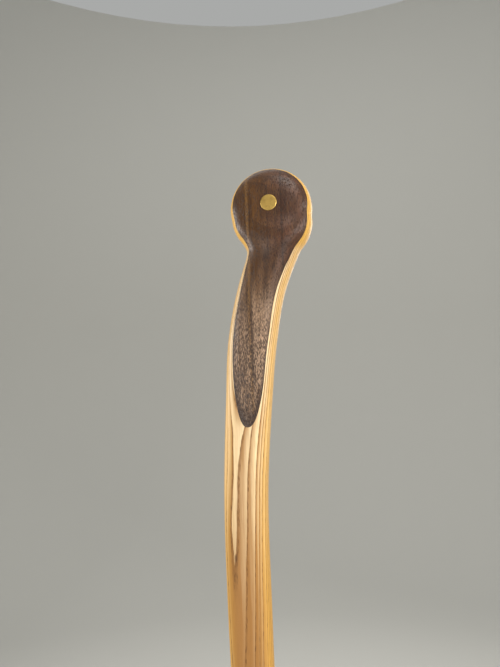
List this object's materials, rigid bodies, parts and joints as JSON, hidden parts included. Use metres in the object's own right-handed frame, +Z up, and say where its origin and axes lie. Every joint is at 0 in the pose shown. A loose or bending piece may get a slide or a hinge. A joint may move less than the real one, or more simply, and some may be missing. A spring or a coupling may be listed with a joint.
{
  "type": "walking cane",
  "caption": "Laminated wooden walking cane: round knob on a swan-neck grip, dark cap inlaid over a pale bowed shaft, brass cross pin, brass ferrule and rubber tip.",
  "frame": {"origin": "centre of the rubber tip's underside, on the surface it stands on", "axes": "+Z up along the cane, through the centre of the knob; -Y is the walnut-faced front; the shaft bows towards -X; +Y is the plain ash back"},
  "size_m": [0.0559, 0.0332, 0.915],
  "materials": {
    "walnut": "oiled walnut, satin, open pores",
    "ash": "oiled ash, satin, straight brown grain lines",
    "pin_brass": "sanded, slightly dulled",
    "ferrule_brass": "turned, lightly worn",
    "washer_steel": "plain",
    "tip_rubber": "moulded matte black rubber"
  },
  "bodies": {
    "root": {"walnut_cap": "walnut", "ash_shaft": "ash", "head_pin": "pin_brass", "ferrule": "ferrule_brass", "ferrule_nails": "ferrule_brass", "tip_washer": "washer_steel", "rubber_tip": "tip_rubber"}
  },
  "joints": []
}
